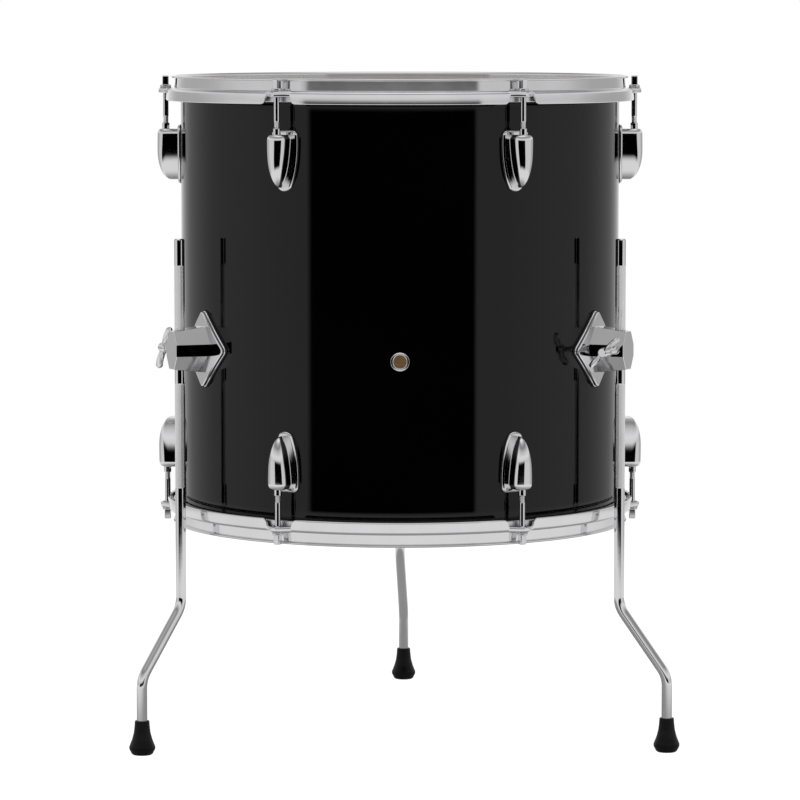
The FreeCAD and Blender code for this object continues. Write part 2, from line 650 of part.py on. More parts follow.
def rubber_foot():
    """Rubber tip with a flared, rounded base, socketed on the leg's end."""
    base = 1.6
    return lathe([(0, 0), (FOOT_FLARE_R - 3.4, 0), (FOOT_FLARE_R - base, 1.0), (FOOT_FLARE_R - 0.3, 4.5),
                  (FOOT_FLARE_R, FOOT_FLARE_Z - 1.5), (FOOT_FLARE_R - 0.5, FOOT_FLARE_Z + 0.8),
                  (FOOT_NECK_R + 2.6, FOOT_FLARE_Z + 4.0), (FOOT_NECK_R + 0.8, FOOT_FLARE_Z + 8.0),
                  (FOOT_NECK_R, FOOT_FLARE_Z + 13.0), (FOOT_NECK_R - 0.2, FOOT_HEIGHT - 0.6),
                  (FOOT_NECK_R - 0.8, FOOT_HEIGHT), (LEG_R, FOOT_HEIGHT), (LEG_R, LEG_END_Z),
                  (0, LEG_END_Z)],
                 Vector(0, -LEG_OFFSET, 0))


def to_bracket(shape, azimuth, turn):
    """Swivel a leg piece about its own axis, then put it in its bracket."""
    swivelled = around(shape, turn)
    swivelled.translate(Vector(0, -LEG_CIRCLE_R, 0))
    return around(swivelled, azimuth)


# ---- making and saving ---------------------------------------------------------------------------
def make_shell():
    holes = shell_holes()
    save("shell_plies", shell_plies(holes))
    save("shell_wrap", shell_wrap(holes))
    save("vent_grommet", vent_grommet())
    save("vent_ring", vent_ring())


def make_ends():
    """Head, hoop, lugs, rods and washers of both ends."""
    film = head_film()
    pieces = {"head_film": film, "flesh_hoop": flesh_hoop(film), "hoop": hoop(),
              "lug_casings": group(ring_of(lug_casing()))}
    for name, shape in pieces.items():
        save("batter_" + name, shape)
        save("resonant_" + name, flipped(shape))
    for name, shape in {"tension_rod": tension_rod(), "rod_washer": rod_washer()}.items():
        for number, placed in enumerate(ring_of(shape), 1):
            save("batter_%s_%d" % (name, number), placed)
            save("resonant_%s_%d" % (name, number), flipped(placed))


def make_small_parts():
    """Gaskets, nuts, screws and washers that are the same all over the drum."""
    gaskets = ring_of(lug_gasket())
    nuts = ring_of(swivel_nut())
    save("lug_gaskets", group(gaskets + [flipped(gasket) for gasket in gaskets]))
    save("swivel_nuts", group(nuts + [flipped(nut) for nut in nuts]))
    lug_screws = [around(inside_screw(0, z, LUG_SCREW_R, LUG_SCREW_BITE), azimuth)
                  for azimuth in ROD_AZIMUTHS for z in lug_screw_spots()]
    washers = [around(inside_washer(0, z, LUG_SCREW_R), azimuth)
               for azimuth in ROD_AZIMUTHS for z in lug_screw_spots()]
    bracket_screws = [around(inside_screw(x, z, BRACKET_SCREW_R, BRACKET_SCREW_BITE), azimuth)
                      for azimuth in LEG_AZIMUTHS.values() for x, z in bracket_screw_spots()]
    washers += [around(inside_washer(x, z, BRACKET_SCREW_R), azimuth)
                for azimuth in LEG_AZIMUTHS.values() for x, z in bracket_screw_spots()]
    save("lug_screws", group(lug_screws))
    save("bracket_screws", group(bracket_screws))
    save("inner_washers", group(washers))
    save("bracket_gaskets", group([around(bracket_gasket(), azimuth) for azimuth in LEG_AZIMUTHS.values()]))


def make_legs():
    fixed = {"bracket": bracket_casting(), "clamp_pad": clamp_pad(), "leg_bush": leg_bush()}
    for place, azimuth in LEG_AZIMUTHS.items():
        for name, shape in fixed.items():
            save("%s_%s" % (place, name), around(shape, azimuth))
        save("%s_wing_bolt" % place, around(wing_bolt(WING_ANGLE[place]), azimuth))
        save("%s_leg" % place, to_bracket(leg(), azimuth, FOOT_TURN[place]))
        save("%s_rubber_foot" % place, to_bracket(rubber_foot(), azimuth, FOOT_TURN[place]))


make_shell()
make_ends()
make_small_parts()
make_legs()
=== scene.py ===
import json
import math
from collections import namedtuple

import bmesh
import bpy
import numpy as np
from mathutils import Matrix, Vector

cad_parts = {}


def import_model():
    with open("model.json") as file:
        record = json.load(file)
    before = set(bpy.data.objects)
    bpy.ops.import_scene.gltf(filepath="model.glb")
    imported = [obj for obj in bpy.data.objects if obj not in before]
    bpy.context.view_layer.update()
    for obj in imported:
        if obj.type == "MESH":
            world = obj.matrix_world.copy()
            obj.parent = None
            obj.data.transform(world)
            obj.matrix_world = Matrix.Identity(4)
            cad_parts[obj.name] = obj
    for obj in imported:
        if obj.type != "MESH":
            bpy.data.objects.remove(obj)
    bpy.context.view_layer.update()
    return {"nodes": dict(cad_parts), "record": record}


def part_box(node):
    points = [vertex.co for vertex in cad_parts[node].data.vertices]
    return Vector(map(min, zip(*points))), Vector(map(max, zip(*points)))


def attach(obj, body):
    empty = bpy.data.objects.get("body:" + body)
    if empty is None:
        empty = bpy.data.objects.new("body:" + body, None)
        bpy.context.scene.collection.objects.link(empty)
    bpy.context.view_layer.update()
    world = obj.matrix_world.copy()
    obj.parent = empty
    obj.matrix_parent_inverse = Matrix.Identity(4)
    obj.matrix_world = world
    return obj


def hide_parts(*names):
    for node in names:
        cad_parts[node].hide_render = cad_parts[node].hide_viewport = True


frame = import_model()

# Shapes are built in millimetres at the front of the drum (-Y is outward) and at its top end,
# then turned to their azimuth, which grows from -Y towards +X, or mirrored to the bottom end.
MM = 0.001


def span(node):
    """Lowest and highest corner of a CAD node, in millimetres."""
    low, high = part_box(node)
    return np.array(low) / MM, np.array(high) / MM


# ---- sizes read from the frame ----------------------------------------------------------------
SHELL_R = span("shell_wrap")[1][0]
PLIES = span("shell_plies")
MIDDLE = (PLIES[0][2] + PLIES[1][2]) / 2
HEAD_Z = PLIES[1][2]
RIM_Z = span("batter_hoop")[1][2]
SKIRT_END_Z = span("batter_hoop")[0][2]
FLANGE_Z = span("batter_rod_washer_1")[0][2]
ROD_CIRCLE_R = sum(span("batter_rod_washer_2")[i][0] for i in (0, 1)) / 2
WASHER_R = (span("batter_rod_washer_2")[1][1] - span("batter_rod_washer_2")[0][1]) / 2
WASHER_TOP = span("batter_rod_washer_1")[1][2]
LUG_TIP_Z, LUG_TOP_Z = (span("batter_lug_casings")[i][2] for i in (0, 1))
BRACKET = span("back_bracket")
BRACKET_Z = (BRACKET[0][2] + BRACKET[1][2]) / 2
BRACKET_END_R = BRACKET[1][1]
LEG_TOP_Z = span("back_leg")[1][2]
WRAP_Z = [span("shell_wrap")[i][2] for i in (0, 1)]
VENT = span("vent_grommet")
VENT_Z = (VENT[0][2] + VENT[1][2]) / 2
FOOT_HEIGHT = span("back_rubber_foot")[1][2]

# ---- sizes of details, in millimetres ------------------------------------------------------------
STEEL = 2.3
HOOP_WALL_R = 209.3
HOOP_LIP_R = 211.7
SKIRT_R = 216.9
EAR_REACH = 7.6
ROD_R = 2.6
ROD_LENGTH = 58.0
THREAD_LENGTH = 31.0
THREAD_PITCH = 25.4 / 24
LEG_R = 4.75
LEG_CIRCLE_R = 230.0
LEG_OFFSET = 46.0
LEG_BENDS = (131.0, 69.0)
BEND_R = 26.0
KNURL_STEP = 0.62
KNURL_DEPTH = 0.2
KNURL_BANDS = ((348.0, 442.0), (239.0, 335.0))      # heights of a leg's knurled stretches
WRAP_THICK = 0.6
WRAP_COLUMNS = 256
VENT_HOLE_R = 7.0
EAR_HALF = 13.0                  # along the hoop, from a rod to the end of its ear
SKIRT_GAP = 18.0                 # along the hoop, from a rod to where the skirt is full again
PLATE_HALF = 34.5                # half of the bracket plate's diagonal, with its corners rounded
PLATE_BEHIND = 1.2               # thickness of the gasket behind the plate

# azimuth of each leg, swivel of its foot, and angle of its wing bolt from upright, in degrees
Stand = namedtuple("Stand", "azimuth swivel wings")
LEGS = {
    "front_left": Stand(-60.0, 12.0, -18.0),
    "front_right": Stand(60.0, 9.4, 46.0),
    "back": Stand(180.0, -4.5, 20.0),
}
ROD_AZIMUTHS = [30.0 + 60.0 * i for i in range(6)]
ENDS = ("batter", "resonant")


# ---- mesh helpers ----------------------------------------------------------------------------------
def smoothstep(low, high, value):
    t = min(1.0, max(0.0, (value - low) / (high - low)))
    return t * t * (3 - 2 * t)


def fillet(points, radius, closed=True, steps=5):
    """A 2-D outline with each corner replaced by a tangent arc."""
    points = [np.array(p, float) for p in points]
    count = len(points)
    radii = radius if isinstance(radius, (list, tuple)) else [radius] * count
    result = []
    for i, corner in enumerate(points):
        if not closed and i in (0, count - 1):
            result.append(corner)
            continue
        before = points[i - 1] - corner
        after = points[(i + 1) % count] - corner
        room = 0.49 * min(np.linalg.norm(before), np.linalg.norm(after))
        before /= np.linalg.norm(before)
        after /= np.linalg.norm(after)
        half = math.acos(np.clip(before @ after, -1, 1)) / 2
        if radii[i] <= 0 or half > math.pi / 2 - 0.01:
            result.append(corner)
            continue
        reach = min(radii[i] / math.tan(half), room)
        bend = reach * math.tan(half)
        centre = corner + (before + after) / np.linalg.norm(before + after) * bend / math.sin(half)
        first = corner + before * reach - centre
        last = corner + after * reach - centre
        turn = math.atan2(first[0] * last[1] - first[1] * last[0], first @ last)
        for k in range(steps + 1):
            a = turn * k / steps
            spin = np.array([[math.cos(a), -math.sin(a)], [math.sin(a), math.cos(a)]])
            result.append(centre + spin @ first)
    return np.array(result)


def inset(outline, distance):
    """A closed outline moved inwards by a distance along its own normals."""
    before = np.roll(outline, 1, axis=0)
    after = np.roll(outline, -1, axis=0)
    along = after - before
    along /= np.linalg.norm(along, axis=1)[:, None] + 1e-12
    area = np.sum(outline[:, 0] * after[:, 1] - outline[:, 1] * after[:, 0])
    inward = np.stack([-along[:, 1], along[:, 0]], 1) * (1 if area > 0 else -1)
    return outline + inward * distance


def skin(rings, closed=True, caps=True):
    """Quads between rings of points; the ends are closed with fans."""
    rings = np.array(rings, float)
    levels, count = rings.shape[:2]
    points = rings.reshape(-1, 3).tolist()
    faces = []
    for level in range(levels - 1):
        for i in range(count if closed else count - 1):
            j = (i + 1) % count
            faces.append((level * count + i, level * count + j, (level + 1) * count + j,
                          (level + 1) * count + i))
    if caps:
        for level, flip in ((0, True), (levels - 1, False)):
            middle = len(points)
            points.append(rings[level].mean(0).tolist())
            for i in range(count):
                j = (i + 1) % count
                pair = (level * count + i, level * count + j)
                faces.append((pair[::-1] if flip else pair) + (middle,))
    return np.array(points), faces


def torus_skin(rings):
    """Quads between rings that run right round and meet the first one."""
    rings = np.array(rings, float)
    levels, count = rings.shape[:2]
    faces = []
    for level in range(levels):
        above = (level + 1) % levels
        for i in range(count):
            j = (i + 1) % count
            faces.append((level * count + i, level * count + j, above * count + j, above * count + i))
    return rings.reshape(-1, 3), faces


def lathe(profile, segments=48, centre=(0, 0, 0), axis="Z", closed=False):
    """Solid of revolution; a profile point is (radius, distance along the axis)."""
    rings = []
    for radius, along in profile:
        ring = []
        for k in range(segments):
            a = 2 * math.pi * k / segments
            across = (radius * math.cos(a), radius * math.sin(a))
            ring.append({"Z": (across[0], across[1], along), "-Y": (across[0], -along, across[1]),
                         "-X": (-along, across[0], across[1])}[axis])
        rings.append(np.array(ring) + np.array(centre))
    return torus_skin(rings) if closed else skin(rings, caps=False)


def stack(outline, levels, place):
    """Closed solid from one outline; levels are (inset, height) and place maps (u, v, height)."""
    rings = []
    for distance, height in levels:
        ring = inset(outline, distance) if distance else outline
        rings.append([place(u, v, height) for u, v in ring])
    return skin(rings)


def join(shapes):
    """Several shapes as one."""
    points, faces, start = [], [], 0
    for shape_points, shape_faces in shapes:
        points.append(shape_points)
        faces += [tuple(i + start for i in face) for face in shape_faces]
        start += len(shape_points)
    return np.concatenate(points), faces


def turned(shape, azimuth):
    """The shape turned about the drum's axis."""
    a = math.radians(azimuth)
    spin = np.array([[math.cos(a), -math.sin(a), 0], [math.sin(a), math.cos(a), 0], [0, 0, 1]])
    return shape[0] @ spin.T, shape[1]


def mirrored(shape):
    """The shape at the other end of the drum."""
    points = shape[0] * np.array([1, 1, -1]) + np.array([0, 0, 2 * MIDDLE])
    return points, [face[::-1] for face in shape[1]]


def at_end(shape, end):
    return shape if end == "batter" else mirrored(shape)


def six(shape):
    """The shape at each of one end's rods."""
    return join([turned(shape, azimuth) for azimuth in ROD_AZIMUTHS])


def on_shell(u, v, radius):
    """A point over the shell, from its distance along the shell's surface, its height and radius."""
    a = u / SHELL_R
    return (radius * math.sin(a), -radius * math.cos(a), v)


def curved_plate(outline, levels):
    """Plate that follows the shell; levels are (inset, radius), and its faces are filled by rings."""
    fill = (0.75, 0.5, 0.25)

    def ring(distance, radius, shrink=1.0):
        flat = inset(outline, distance)
        middle = flat.mean(0)
        return [on_shell(*(middle + (p - middle) * shrink), radius) for p in flat]

    first, last = levels[0], levels[-1]
    rings = [ring(*first, s) for s in fill[::-1]] + [ring(*level) for level in levels]
    return skin(rings + [ring(*last, s) for s in fill])


def bevelled(shape, width):
    """The shape with its sharp edges bevelled."""
    bm = to_bmesh(shape)
    sharp = [edge for edge in bm.edges if len(edge.link_faces) == 2
             and edge.calc_face_angle() > math.radians(30)]
    bmesh.ops.bevel(bm, geom=sharp, offset=width, segments=3, profile=0.6, affect="EDGES",
                    clamp_overlap=True)
    return from_bmesh(bm)


def to_bmesh(shape):
    """A welded mesh with its normals outward; a face that is there already is left out."""
    bm = bmesh.new()
    points = [bm.verts.new(p) for p in shape[0]]
    for face in shape[1]:
        try:
            bm.faces.new([points[i] for i in face])
        except ValueError:
            continue
    bmesh.ops.remove_doubles(bm, verts=bm.verts, dist=0.004)
    bmesh.ops.dissolve_degenerate(bm, edges=bm.edges, dist=0.001)
    bmesh.ops.recalc_face_normals(bm, faces=bm.faces)
    return bm


def from_bmesh(bm):
    """The mesh as (points, faces)."""
    bm.verts.index_update()
    shape = np.array([v.co for v in bm.verts]), [tuple(v.index for v in f.verts) for f in bm.faces]
    bm.free()
    return shape


def cut(shape, cutters):
    """The shape less the cutters, by an exact boolean."""
    objects = []
    for part in (shape, join(cutters)):
        bm = to_bmesh(part)
        mesh = bpy.data.meshes.new("cutting")
        bm.to_mesh(mesh)
        bm.free()
        holder = bpy.data.objects.new("cutting", mesh)
        bpy.context.scene.collection.objects.link(holder)
        objects.append(holder)
    body, tool = objects
    modifier = body.modifiers.new("cut", "BOOLEAN")
    modifier.operation = "DIFFERENCE"
    modifier.solver = "EXACT"
    modifier.object = tool
    graph = bpy.context.evaluated_depsgraph_get()
    result = body.evaluated_get(graph).to_mesh()
    shape = (np.array([v.co[:] for v in result.vertices]), [tuple(f.vertices) for f in result.polygons])
    for holder in objects:
        bpy.data.objects.remove(holder)
    return shape


def pin(radius, start, end, segments=32):
    """A round bar between two points, as a cutter."""
    start, end = Vector(start), Vector(end)
    spin = (end - start).to_track_quat("Z", "Y")
    rings = []
    for spot in (start, end):
        rings.append([tuple(spot + spin @ Vector((radius * math.cos(a), radius * math.sin(a), 0)))
                      for a in (2 * math.pi * k / segments for k in range(segments))])
    return skin(rings)


def piece(name, shape, body, slot, nodes=(), sharp=38.0, weighted=True, flat=None):
    """A finished piece: welded, shaded smooth between sharp edges, and riding on its body."""
    bm = to_bmesh(shape)
    bmesh.ops.scale(bm, vec=(MM, MM, MM), verts=bm.verts)
    mesh = bpy.data.meshes.new(name)
    bm.to_mesh(mesh)
    bm.free()
    mesh.shade_smooth()
    mesh.set_sharp_from_angle(angle=math.radians(sharp))
    if flat is not None:
        for face in mesh.polygons:
            face.use_smooth = not flat(face)
    mesh.materials.append(MATERIALS[slot])
    made = bpy.data.objects.new(name, mesh)
    bpy.context.scene.collection.objects.link(made)
    if weighted:
        modifier = made.modifiers.new("weighted", "WEIGHTED_NORMAL")
        modifier.keep_sharp = True
    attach(made, body)
    if nodes:
        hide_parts(*nodes)
    return made


# ---- materials ----------------------------------------------------------------------------------
class Look:
    """One procedural material, built round a Principled shader."""

    def __init__(self, name, **sockets):
        self.material = bpy.data.materials.new(name)
        self.material.use_nodes = True
        self.nodes = self.material.node_tree.nodes
        self.shader = self.nodes["Principled BSDF"]
        for socket, value in sockets.items():
            self.shader.inputs[socket.replace("_", " ")].default_value = value
        self.coords = self.add("ShaderNodeTexCoord").outputs["Object"]

    def add(self, kind, **values):
        node = self.nodes.new(kind)
        for key, value in values.items():
            setattr(node, key, value)
        return node

    def link(self, source, target):
        self.material.node_tree.links.new(source, target)

    def noise(self, scale, detail=3.0, stretch=(1, 1, 1), roughness=0.5):
        mapping = self.add("ShaderNodeMapping")
        mapping.inputs["Scale"].default_value = stretch
        self.link(self.coords, mapping.inputs["Vector"])
        node = self.add("ShaderNodeTexNoise")
        node.inputs["Scale"].default_value = scale
        node.inputs["Detail"].default_value = detail
        node.inputs["Roughness"].default_value = roughness
        self.link(mapping.outputs["Vector"], node.inputs["Vector"])
        return node.outputs["Fac"]

    def ramp(self, factor, *stops):
        node = self.add("ShaderNodeValToRGB")
        elements = node.color_ramp.elements
        for i, (place, colour) in enumerate(stops):
            element = elements[i] if i < 2 else elements.new(place)
            element.position = place
            element.color = tuple(colour) + (1,) if len(colour) == 3 else colour
        self.link(factor, node.inputs["Fac"])
        return node.outputs["Color"]

    def spread(self, factor, low, high):
        """The factor, mapped onto a range."""
        node = self.add("ShaderNodeMapRange")
        node.inputs["From Min"].default_value = 0.3
        node.inputs["From Max"].default_value = 0.7
        node.inputs["To Min"].default_value = low
        node.inputs["To Max"].default_value = high
        self.link(factor, node.inputs["Value"])
        return node.outputs["Result"]

    def into(self, output, socket):
        self.link(output, self.shader.inputs[socket])

    def bump(self, height, strength, distance):
        node = self.add("ShaderNodeBump")
        node.inputs["Strength"].default_value = strength
        node.inputs["Distance"].default_value = distance
        self.link(height, node.inputs["Height"])
        self.into(node.outputs["Normal"], "Normal")


def black_wrap():
    look = Look("black_wrap", IOR=1.38)
    tone = look.ramp(look.noise(6), (0.3, (0.0007, 0.0005, 0.0006)), (0.7, (0.0014, 0.0010, 0.0012)))
    look.into(tone, "Base Color")
    look.into(look.spread(look.noise(14, 5), 0.025, 0.06), "Roughness")
    look.bump(look.noise(9, 2), 0.05, 0.001)
    return look.material


def chrome():
    look = Look("chrome", Metallic=1.0)
    tint = (0.80, 0.80, 0.81)
    darker = tuple(c * 0.93 for c in tint)
    look.into(look.ramp(look.noise(30, 4), (0.3, darker), (0.7, tint)), "Base Color")
    look.into(look.spread(look.noise(60, 5), 0.03, 0.09), "Roughness")
    look.bump(look.noise(40, 3), 0.04, 0.0005)
    return look.material


def matte(name, dark, light, scale, rough, strength, metallic=0.0, ior=1.5):
    look = Look(name, Metallic=metallic, IOR=ior)
    look.into(look.ramp(look.noise(scale * 0.3), (0.3, dark), (0.7, light)), "Base Color")
    look.into(look.spread(look.noise(scale, 4), *rough), "Roughness")
    look.bump(look.noise(scale, 4), strength, 0.0003)
    return look.material


def clear_film():
    """Clear plastic, nearly invisible face on and solid at a grazing angle; face on its pale colour is the
    film's faint haze, and at a grazing angle it is a painted reflection.
    """
    look = Look("clear_film", IOR=1.4)
    tone = look.ramp(look.noise(5), (0.3, (0.80, 0.82, 0.84)), (0.7, (0.9, 0.91, 0.92)))
    look.into(tone, "Base Color")
    look.into(look.spread(look.noise(25, 4), 0.03, 0.10), "Roughness")
    look.bump(look.noise(4, 1), 0.05, 0.0005)
    # the pale colour growing solid towards a grazing angle is a painted reflection of the film's rim
    edge = look.add("ShaderNodeLayerWeight")
    edge.inputs["Blend"].default_value = 0.3
    painted_rim_reflection = look.ramp(edge.outputs["Facing"], (0.5, (0.10, 0.10, 0.10)), (0.97, (0.85, 0.85, 0.85)))
    look.into(painted_rim_reflection, "Alpha")
    return look.material


def shell_wood():
    """Pale maple: grain runs round the shell, and the plies show as bands on its edges."""
    look = Look("shell_wood", IOR=1.45)
    grain = look.noise(42, 6, (1, 1, 9), 0.6)
    colour = look.ramp(grain, (0.3, (0.62, 0.38, 0.17)), (0.55, (0.76, 0.52, 0.27)),
                       (0.75, (0.83, 0.62, 0.36)))
    radius = look.add("ShaderNodeVectorMath", operation="LENGTH")
    flat = look.add("ShaderNodeMapping")
    flat.inputs["Scale"].default_value = (1, 1, 0)
    look.link(look.coords, flat.inputs["Vector"])
    look.link(flat.outputs["Vector"], radius.inputs[0])
    wave = look.add("ShaderNodeMath", operation="SINE")
    scaled = look.add("ShaderNodeMath", operation="MULTIPLY")
    two_plies = 2 * 7.0 / 6 * MM
    scaled.inputs[1].default_value = 2 * math.pi / two_plies
    look.link(radius.outputs["Value"], scaled.inputs[0])
    look.link(scaled.outputs["Value"], wave.inputs[0])
    bands = look.ramp(wave.outputs["Value"], (0.45, (0.72, 0.72, 0.72)), (0.55, (1, 1, 1)))
    mix = look.add("ShaderNodeMix", data_type="RGBA", blend_type="MULTIPLY")
    mix.inputs["Factor"].default_value = 1.0
    # sockets 6 and 7 and output 2 are this node's colours
    look.link(colour, mix.inputs[6])
    look.link(bands, mix.inputs[7])
    look.into(mix.outputs[2], "Base Color")
    look.into(look.spread(grain, 0.35, 0.55), "Roughness")
    look.bump(grain, 0.15, 0.0003)
    return look.material


MATERIALS = {
    "black_wrap": black_wrap(),
    "chrome": chrome(),
    "shell_wood": shell_wood(),
    "clear_film": clear_film(),
    "aluminium": matte("aluminium", (0.62, 0.62, 0.63), (0.74, 0.74, 0.75), 220, (0.22, 0.34), 0.1, 1.0),
    "gasket": matte("gasket", (0.010, 0.010, 0.010), (0.022, 0.022, 0.022), 300, (0.5, 0.7), 0.25),
    "zinc": matte("zinc", (0.50, 0.51, 0.53), (0.66, 0.67, 0.68), 260, (0.18, 0.32), 0.1, 1.0),
    "nylon": matte("nylon", (0.022, 0.022, 0.023), (0.04, 0.04, 0.042), 240, (0.35, 0.5), 0.2),
    "brass": matte("brass", (0.56, 0.40, 0.16), (0.74, 0.56, 0.27), 260, (0.18, 0.3), 0.1, 1.0),
    "rubber": matte("rubber", (0.0030, 0.0028, 0.0030), (0.0070, 0.0064, 0.0068), 420, (0.28, 0.42), 0.3,
                    ior=1.28),
}


# ---- shell ---------------------------------------------------------------------------------------------
def wrap_face(radius, low, high):
    """One side of the covering, with a round hole at the vent in the middle of a square patch."""
    columns = WRAP_COLUMNS
    step = 360.0 / columns
    half = 2                     # the patch's half width and height, in cells
    room = half * math.radians(step) * SHELL_R
    rows = sorted({round(z, 4) for z in list(np.linspace(low, VENT_Z - room, 9))
                   + list(np.linspace(VENT_Z - room, VENT_Z + room, 2 * half + 1))
                   + list(np.linspace(VENT_Z + room, high, 13))})
    points = [on_shell(math.radians(step * c) * SHELL_R, z, radius) for z in rows for c in range(columns)]
    first = min(range(len(rows)), key=lambda i: abs(rows[i] - (VENT_Z - room)))
    faces = []
    for r in range(len(rows) - 1):
        for c in range(columns):
            offset = (c + columns // 2) % columns - columns // 2
            if first <= r < first + 2 * half and -half <= offset < half:
                continue
            d = (c + 1) % columns
            faces.append((r * columns + c, r * columns + d, (r + 1) * columns + d, (r + 1) * columns + c))
    edge = [(i, -half) for i in range(-half, half)] + [(half, i) for i in range(-half, half)]
    edge += [(-i, half) for i in range(-half, half)] + [(-half, -i) for i in range(-half, half)]
    rings = []
    for share in (0, 0.35, 0.7, 1.0):
        ring = []
        for c, r in edge:
            square = np.array([c, r]) * room / half
            circle = square / np.linalg.norm(square) * VENT_HOLE_R
            u, v = square * (1 - share) + circle * share
            ring.append(on_shell(u, VENT_Z + v, radius))
        rings.append(ring)
    return join([(np.array(points), faces), skin(rings, caps=False)]), rings[-1]


def shell_wrap():
    """The covering, with its inner and outer sides, the vent's hole and two softened edges."""
    low, high = WRAP_Z
    soft = 0.25
    # distance in from the outer side, and down from the end
    edge = ((0, soft), (0.07, 0.07), (soft, 0), (WRAP_THICK - soft, 0), (WRAP_THICK, soft))
    outer, outer_rim = wrap_face(SHELL_R, low + soft, high - soft)
    inner, inner_rim = wrap_face(SHELL_R - WRAP_THICK, low + soft, high - soft)
    parts = [outer, inner, skin([outer_rim, inner_rim], caps=False)]
    for sign, z in ((1, high), (-1, low)):
        rings = [[on_shell(math.radians(360 / WRAP_COLUMNS * c) * SHELL_R, z - sign * drop, SHELL_R - back)
                  for c in range(WRAP_COLUMNS)] for back, drop in edge]
        parts.append(skin(rings, caps=False))
    return join(parts)


def wrap_seam():
    """The covering's glued overlap, a low strip down the back."""
    low, high = WRAP_Z
    centre = math.radians(120) * SHELL_R
    outline = fillet([(centre - 9, low + 0.3), (centre + 9, low + 0.3), (centre + 9, high - 0.3),
                      (centre - 9, high - 0.3)], 1.0)
    return curved_plate(outline, [(0, SHELL_R - 0.1), (0, SHELL_R + 0.12), (0.15, SHELL_R + 0.28)])


piece("shell_covering", shell_wrap(), "drum", "black_wrap", ["shell_wrap"],
      weighted=False)
piece("shell_covering_seam", wrap_seam(), "drum", "black_wrap")


def vent():
    """Rolled flange and tube of the air vent."""
    face = SHELL_R + 1.0
    flange = fillet([(5.75, SHELL_R - 9), (5.75, face), (8.35, face - 0.35), (8.35, SHELL_R - 0.35),
                     (6.9, SHELL_R - 0.4), (6.9, SHELL_R - 9)], [0, 1.1, 0.45, 0.2, 0, 0])
    return lathe(flange, 64, (0, 0, VENT_Z), "-Y", closed=True)


piece("vent_eyelet", vent(), "drum", "chrome", ["vent_grommet"])


# ---- hoops, heads and flesh hoops --------------------------------------------------------------------
def hoop_section(t):
    """Closed section of the hoop, as (radius, height), at an arc distance from the nearest ear."""
    t = abs(t)
    ear = EAR_REACH * (1 - (t / EAR_HALF) ** 2) ** 2 if t < EAR_HALF else 0.0
    out = SKIRT_R + ear - STEEL / 2
    level = FLANGE_Z - STEEL / 2
    full = SKIRT_END_Z + STEEL / 2
    corner = min(1.0, max(0.0, (SKIRT_GAP - t) / 5.0))
    end = full + 5.0 * (1 - math.sqrt(1 - corner ** 2)) if t >= EAR_HALF else full + 5.0
    end += (level - 2.6 - end) * (1 - smoothstep(EAR_HALF - 1.0, EAR_HALF, t))
    wall = HOOP_WALL_R - STEEL / 2

    def skirt(z):
        depth = (level - z) / (level - full)
        return out - 0.77 + 0.87 * depth - 0.1 * depth ** 2, z

    middle = [(HOOP_LIP_R - STEEL / 2, RIM_Z - STEEL / 2), (wall - 0.56, RIM_Z - STEEL / 2), (wall, level),
              skirt(level), skirt(level * 0.4 + end * 0.6), skirt(end)]
    line = fillet(middle, [0, 1.3, 1.9, 1.9, 0, 0], closed=False, steps=6)
    along = np.gradient(line, axis=0)
    along /= np.linalg.norm(along, axis=1)[:, None]
    side = np.stack([-along[:, 1], along[:, 0]], 1) * STEEL / 2
    caps = []
    for spot, direction, normal in ((line[-1], along[-1], side[-1]), (line[0], -along[0], -side[0])):
        caps.append([spot + normal * math.cos(a) + direction * STEEL / 2 * math.sin(a)
                     for a in np.linspace(0, math.pi, 7)[1:-1]])
    return np.concatenate([line + side, caps[0], (line - side)[::-1], caps[1]])


def hoop():
    """The whole hoop; its sections are closest where the skirt is cut away at an ear."""
    sector = math.radians(60) * SKIRT_R
    half = list(np.arange(0, 12.01, 0.8))
    half += [12.3, 12.5, 12.7, 13.0, 13.4, 13.9, 14.5, 15.3, 16.2, 17, 18, 19, 20]
    half += list(np.linspace(20, sector / 2, 20))[1:]
    stations = [-t for t in half[::-1][:-1]] + half[:-1]
    rings = []
    for azimuth in ROD_AZIMUTHS:
        for t in stations:
            a = math.radians(azimuth) + t / SKIRT_R
            rings.append([(r * math.sin(a), -r * math.cos(a), z) for r, z in hoop_section(t)])
    body = torus_skin(rings)
    holes = []
    for a in map(math.radians, ROD_AZIMUTHS):
        x, y = ROD_CIRCLE_R * math.sin(a), -ROD_CIRCLE_R * math.cos(a)
        holes.append(pin(3.1, (x, y, FLANGE_Z - 9), (x, y, FLANGE_Z + 9)))
    return cut(body, holes)


def head_film():
    """The film: flat over the shell, and turned down in a collar round it."""
    below = [(0, 0), (60, 0), (120, 0), (180, 0), (201.0, 0), (202.0, -0.2), (202.8, -1.2), (205.2, -6),
             (205.2, -11)]
    above = [(205.5, -11), (205.5, -5.8), (203.2, -1.0), (202.4, 0.1), (201.2, 0.3), (180, 0.3), (120, 0.3),
             (60, 0.3), (0, 0.3)]
    return lathe([(radius, HEAD_Z + rise) for radius, rise in below + above], 192)


def flesh_hoop():
    low, high = (span("batter_flesh_hoop")[i][2] for i in (0, 1))
    return lathe(fillet([(204.3, low), (211.6, low), (211.6, high), (205.7, high), (205.7, low + 2.8),
                         (204.3, low + 2.8)], [0.6, 0.9, 0.6, 0.3, 0.2, 0.2], steps=3), 192, closed=True)


HOOP = hoop()
for end in ENDS:
    piece(end + "_rim", at_end(HOOP, end), "drum", "chrome", [end + "_hoop"])
    piece(end + "_head", at_end(head_film(), end), "drum", "clear_film",
          [end + "_head_film"])
    piece(end + "_flesh_ring", at_end(flesh_hoop(), end), "drum", "aluminium",
          [end + "_flesh_hoop"])


